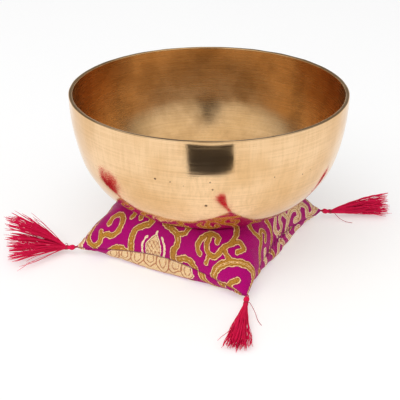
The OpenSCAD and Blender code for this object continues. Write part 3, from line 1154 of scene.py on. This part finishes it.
@dataclass
class CornerTassel:
    """A thread tassel that hangs by a twisted loop from one corner of the cushion."""

    hang: Hang
    origin: Array
    pivot: Array
    along: Array
    loop_length: float = 3.2 * MM
    loop_width: float = 2.6 * MM
    loop_twists: int = 9
    ply_radius: float = 0.24 * MM
    ply_offset: float = 0.21 * MM
    sewn_in: float = 1.2 * MM
    head_start: float = -2.8 * MM
    head_length: float = 5.6 * MM
    head_radius: float = 2.1 * MM
    neck_radius: float = 1.35 * MM
    neck_length: float = 2.0 * MM
    axis_drop: float = 1.2 / 8.4
    thread_radius: float = 0.24 * MM
    fold_radius: float = 0.35 * MM
    table_gap: float = 0.35 * MM
    lowest: float = 0.32 * MM
    widest_fan: float = 1.25
    side_droop: float = 0.45 / 1.6
    skirt_belly: float = 1.6 * MM
    end_taper: float = 0.55
    tail_radius: float = 0.2 * MM
    strays: int = 12
    wraps: int = 5
    thread: SilkThread = SilkThread("tassel_thread", (1.0, 0.006, 0.075), (0.84, 0.0, 0.035), 0.33)
    wrap_thread: SilkThread = SilkThread("tassel_wrap_thread", (0.62, 0.0, 0.05), (0.30, 0.0, 0.02))

    @classmethod
    def from_frame(cls, corner: Corner) -> "CornerTassel":
        """The tassel at its CAD joints' own places."""
        joints = {j["name"]: j for j in frame["record"]["behaviour"]["joints"]}
        name = corner.value.name
        origin = np.array(joints[f"{name}_loop_swing"]["pos_m"])
        pivot = np.array(joints[f"{name}_tassel_raise"]["pos_m"])
        flat = (pivot - origin) * LEVEL
        return cls(hang=corner.value, origin=origin, pivot=pivot, along=flat / np.linalg.norm(flat))

    @property
    def across(self) -> Array:
        """The level direction to the left of the tassel."""
        return np.array([-self.along[1], self.along[0], 0.0])

    def at(self, x: float, y: float, z: float) -> Array:
        """A point from its distances along the tassel from the pivot, to its left, and off the table."""
        return self.pivot * LEVEL + self.along * x + self.across * y + UP * z

    def around(self, x: float, turn: float, radius: float) -> Array:
        """A point around the head's axis, at a distance along the tassel from the pivot."""
        return self.at(x, radius * math.cos(turn), self.axis_height(x) + radius * math.sin(turn))

    def axis_height(self, x: float) -> float:
        """Height of the head's axis above the table."""
        return self.pivot[2] - self.axis_drop * x

    def build_loop(self) -> Piece:
        """Make the hanging loop: two plies twisted into a closed cord."""
        bundle = ThreadBundle(sides=6)
        half = (self.loop_width - 0.9 * MM) / 2
        run = self.loop_length + 0.2 * MM
        turn = np.linspace(0, TAU, 121)
        x = (np.cos(turn) * 0.5 + 0.5) * (run + self.sewn_in - 0.45 * MM) - self.sewn_in
        y = half * np.sign(np.sin(turn)) * np.abs(np.sin(turn)) ** 0.6
        ring = self.origin * LEVEL + x[:, None] * self.along + y[:, None] * self.across
        ring[:, 2] = self.origin[2] + (self.pivot[2] - self.origin[2]) * x / run
        side = unit(np.cross(unit(np.gradient(ring, axis=0)), UP))
        for ply in range(2):
            a = turn * self.loop_twists + ply * math.pi
            path = ring + self.ply_offset * (np.cos(a)[:, None] * side + np.sin(a)[:, None] * UP)
            bundle.add(path, np.full(len(path), self.ply_radius), 0.35 + 0.4 * ply)
        return bundle.build(f"{self.hang.name}_tassel_loop_cord")

    def thread_path(self, rng: np.random.Generator, stray: bool) -> tuple[Array, Array]:
        """One thread, from its fold over the loop to its loose end.

        Args:
            rng: Random numbers.
            stray: Whether it has come away from the others.

        Returns:
            Its path and its radius at each point.
        """
        hang = self.hang
        turn = rng.uniform(0, TAU)
        depth = math.sqrt(rng.uniform(0.02, 1.0))
        neck_x = self.head_start + self.head_length
        skirt_x = neck_x + self.neck_length
        head = np.linspace(0, 1, 9)[1:]
        bulb = self.head_radius * np.sin(np.pi * head ** 0.85) ** 0.6 * (1 - 0.25 * head)
        width = np.maximum(bulb, self.neck_radius * head ** 0.5) * (0.35 + 0.65 * depth)
        width[-1] = self.neck_radius * depth
        cy, cz = math.cos(turn), math.sin(turn)
        points = [self.at(self.head_start, self.fold_radius * cy, self.pivot[2] + self.fold_radius * cz)]
        for share, r in zip(head, width):
            points.append(self.around(self.head_start + share * self.head_length, turn, r))
        points.append(self.around(skirt_x, turn, self.neck_radius * depth))
        reach = hang.reach * (rng.uniform(0.8, 1.02) if stray else rng.uniform(0.86, 1.0))
        fan = cy * depth + rng.normal(0, 0.10)
        lift = (cz * depth + 1) / 2
        if stray:
            fan = rng.choice([-1.0, 1.0]) * rng.uniform(1.0, self.widest_fan)
            lift = rng.uniform(0.1, 1.0)
        fan = max(-self.widest_fan, min(self.widest_fan, fan))
        swing = (hang.lean + fan * hang.end_width / 2) / (hang.reach - skirt_x)
        end_x = skirt_x + (reach - skirt_x) * math.cos(swing)
        end_y = (reach - skirt_x) * math.sin(swing)
        thick = (hang.end_height - 2 * self.table_gap) * (1 - self.side_droop * fan * fan)
        end_z = self.table_gap + lift * thick
        start_y = self.neck_radius * depth * cy
        start_z = self.axis_height(skirt_x) + self.neck_radius * depth * cz
        wave = rng.uniform(0.15, 0.6) * MM * (2.2 if stray else 1.0)
        length = rng.uniform(14, 26) * MM
        phase = rng.uniform(0, TAU, 2)
        curl = rng.normal(0, 1.0) * MM
        for share in np.linspace(0, 1, 14)[1:]:
            x = skirt_x + share * (end_x - skirt_x)
            sideways, upward = (wave * share * math.sin(TAU * x / length + p) for p in phase)
            y = start_y + (end_y - start_y) * share ** 1.05 + sideways + curl * share ** 4
            z = start_z + (end_z - start_z) * share ** 0.9 + upward
            z += self.skirt_belly * math.sin(math.pi * share) * lift
            points.append(self.at(x, y, max(z, self.lowest)))
        radius = self.thread_radius * rng.uniform(0.8, 1.1) * (0.75 if stray else 1.0)
        radii = np.full(len(points), radius)
        radii[-1] *= self.end_taper
        return np.array(points), radii

    def build_strands(self) -> Piece:
        """Make the folded threads: a round head, a bound neck and a loose skirt."""
        rng = np.random.default_rng(self.hang.seed)
        bundle = ThreadBundle(sides=5)
        for k in range(self.hang.threads + self.strays):
            path, radii = self.thread_path(rng, stray=k >= self.hang.threads)
            fine = spline_rows(path, 2 * len(path) - 1)
            places = np.linspace(0, 1, len(radii))
            radii = np.interp(np.linspace(0, 1, len(fine)), places, radii)
            bundle.add(fine, radii, float(rng.uniform(0, 1)))
        core = {-1.8: 0.8, -0.8: 1.5, 0.6: 1.7, 2.2: 1.4, 3.4: 1.1, 5.5: 1.1, 8.0: 0.9}
        path = [self.at(x * MM, 0, self.axis_height(x * MM)) for x in core]
        bundle.add(np.array(path), np.array(list(core.values())) * MM, 0.15)
        return bundle.build(f"{self.hang.name}_tassel_threads")

    def build_binding(self) -> Piece:
        """Make the thread that is wound around the neck, with its loose end."""
        bundle = ThreadBundle(sides=6)
        turn = np.linspace(0, TAU * self.wraps, 24 * self.wraps + 1)
        x0 = self.head_start + self.head_length + 0.1 * MM
        r = self.neck_radius + 0.22 * MM
        x = x0 + (self.neck_length - 0.3 * MM) * turn / turn[-1]
        coil = np.array([self.around(place, a, r) for place, a in zip(x, turn)])
        bundle.add(coil, np.full(len(coil), self.ply_radius), 0.4)
        way, top = self.hang.tail_side, self.axis_height(x0)
        tail = [self.at(x0 + 0.6 * MM, way * r * 0.6, top + r * 0.7),
                self.at(x0 + 2 * MM, way * 3.2 * MM, top + 1.5 * MM),
                self.at(x0 + 6 * MM, way * 7 * MM, 3.2 * MM),
                self.at(x0 + 11 * MM, way * 9.5 * MM, 0.6 * MM),
                self.at(x0 + 16 * MM, way * 12.5 * MM, 0.4 * MM)]
        path = spline_rows(np.array(tail), 25)
        bundle.add(path, np.full(len(path), self.tail_radius), 0.2)
        return bundle.build(f"{self.hang.name}_tassel_wrap")

    def assemble(self) -> list[Piece]:
        """Build, dress and attach the loop, the threads and the binding."""
        name = self.hang.name
        pieces = [(self.build_loop(), f"{name}_tassel_loop", f"{name}_loop", self.wrap_thread),
                  (self.build_strands(), f"{name}_tassel_strands", f"{name}_tassel", self.thread),
                  (self.build_binding(), f"{name}_tassel_binding", f"{name}_tassel", self.wrap_thread)]
        for piece, node, body, finish in pieces:
            made = bpy.data.materials.get(finish.name) or finish.material()
            piece.data.materials.append(made)
            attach(piece, body)
            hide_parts(node)
        return [piece for piece, *_ in pieces]


# ---------------------------------------------------------------- studio


@dataclass
class Studio:
    """A pale floor under soft white light, with two dark cards that only shiny finishes mirror."""

    bowl: SingingBowl
    floor_size: float = 6.0
    world_strength: float = 1.0
    sky_low: float = 0.18
    sky_high: float = 0.90
    horizon: float = 0.82
    bright_tilt: tuple[float, float] = (0.42, 0.91)
    lamp_tilt: tuple[float, float, float] = (0.6, -0.25, 0.8)
    lamp_power: float = 46.0
    lamp_size: float = 2.8
    lamp_distance: float = 3.0
    view_azimuth: float = 28.0
    view_elevation: float = 27.07
    view_distance: float = 0.650
    target: tuple[float, float, float] = (-3.6 * MM, 1.0 * MM, 30.15 * MM)
    lens: float = 76.2
    card_near: float = 214 * MM
    card_far: float = 420 * MM
    card_near_width: float = 104 * MM
    card_far_width: float = 262 * MM
    back_card: float = 640 * MM
    back_card_low: float = 240 * MM
    back_card_high: float = 1050 * MM
    back_card_width: float = 280 * MM
    back_card_top_width: float = 110 * MM
    card_black: Colour = (0.02, 0.02, 0.02)
    card_grey: Colour = (0.035, 0.03, 0.03)
    paper: StudioPaper = field(default_factory=StudioPaper)

    def toward_camera(self) -> Vector:
        """The level direction from the bowl to the camera."""
        a = math.radians(self.view_azimuth)
        return Vector((math.sin(a), -math.cos(a), 0))

    def build_floor(self) -> None:
        """Lay the floor."""
        half = self.floor_size / 2
        steps = np.linspace(-half, half, 9)
        x, y = np.meshgrid(steps, steps, indexing="ij")
        floor = make_mesh("studio_floor", np.stack([x, y, np.zeros_like(x)], -1).reshape(-1, 3),
                          [f[::-1] for f in grid_faces(9, 9)])
        floor.data.materials.append(self.paper.material())

    def build_card(self, name: str, corners: list[Vector]) -> None:
        """Set up one dark card that the brass mirrors and nothing else sees."""
        card = make_mesh(name, np.array([tuple(c) for c in corners]), [(0, 1, 2, 3)], smooth=False)
        g = Graph(bpy.data.materials.new(name))
        tone = g.mix(g.noise(g.place(), 60.0), self.card_black, self.card_grey)
        card.data.materials.append(g.shade(Base_Color=tone, Roughness=0.9))
        card.visible_camera = card.visible_diffuse = card.visible_shadow = False
        card.visible_transmission = card.visible_volume_scatter = False

    def build_cards(self) -> None:
        """Set up the cards: one on the floor before the bowl, one upright around the camera."""
        out = self.toward_camera()
        side = Vector((-out.y, out.x, 0)) / 2
        foot = self.bowl.centre + Vector((0, 0, 1.0 * MM))
        near, far = foot + out * self.card_near, foot + out * self.card_far
        wide_near, wide_far = side * self.card_near_width, side * self.card_far_width
        corners = [near - wide_near, near + wide_near, far + wide_far, far - wide_far]
        self.build_card("floor_card", corners)
        behind = self.bowl.centre + out * self.back_card
        low, high = (behind + Vector((0, 0, z)) for z in (self.back_card_low, self.back_card_high))
        wide, narrow = side * self.back_card_width, side * self.back_card_top_width
        self.build_card("camera_card", [low - wide, low + wide, high + narrow, high - narrow])

    def build_light(self) -> None:
        """Light the scene with a sky, brightest high on the camera's side, and one soft lamp."""
        g = Graph(bpy.data.worlds.new("studio_world"), "Background")
        where = g.place("Generated")
        level, up = self.bright_tilt
        brightest = (self.toward_camera() * level + Vector((0, 0, up))).normalized()
        toward = g.node("VectorMath", {0: where, 1: brightest}, operation="DOT_PRODUCT").outputs["Value"]
        rise = g.node("SeparateXYZ", {0: where}).outputs[2]
        dome = g.span(toward, 0.2, 0.85, self.sky_low, self.sky_high)
        band = g.span(rise, 0.15, 0.34, self.horizon, 0.0, kind="LINEAR")
        sky = g.math("MAXIMUM", dome, band)
        bpy.context.scene.world = g.shade(Color=sky, Strength=self.world_strength)
        data = bpy.data.lights.new("soft_lamp", "AREA")
        data.size = self.lamp_size
        data.energy = self.lamp_power
        lamp = bpy.data.objects.new("soft_lamp", data)
        level, left, up = self.lamp_tilt
        aim_from = (self.toward_camera() * level + Vector((left, 0, up))).normalized()
        lamp.location = aim_from * self.lamp_distance
        lamp.rotation_euler = (-aim_from).to_track_quat("-Z", "Y").to_euler()
        lamp.visible_glossy = lamp.visible_camera = False
        bpy.context.scene.collection.objects.link(lamp)

    def build_camera(self) -> None:
        """Set up the camera."""
        e = math.radians(self.view_elevation)
        data = bpy.data.cameras.new("camera")
        data.lens = self.lens
        data.sensor_width = 36.0
        camera = bpy.data.objects.new("camera", data)
        target = Vector(self.target)
        back = self.toward_camera() * math.cos(e) + Vector((0, 0, math.sin(e)))
        camera.location = target + back * self.view_distance
        camera.rotation_euler = (-back).to_track_quat("-Z", "Y").to_euler()
        bpy.context.scene.collection.objects.link(camera)
        bpy.context.scene.camera = camera

    def assemble(self) -> None:
        """Set up the floor, the cards, the light and the camera."""
        self.build_camera()
        self.build_floor()
        self.build_cards()
        self.build_light()
        bpy.context.scene.view_settings.view_transform = "Standard"


def main() -> None:
    """Build the bowl, the cushion, the tassels and the studio, and write how big they are."""
    logging.basicConfig(level=logging.INFO, format="%(name)s: %(message)s")
    bowl = SingingBowl.from_frame()
    Studio(bowl).assemble()
    parts = [bowl, BrocadeCushion.from_frame(bowl)] + [CornerTassel.from_frame(c) for c in Corner]
    for part in parts:
        for piece in part.assemble():
            log.info("%s: %d faces", piece.name, len(piece.data.polygons))


if __name__ == "__main__":
    main()
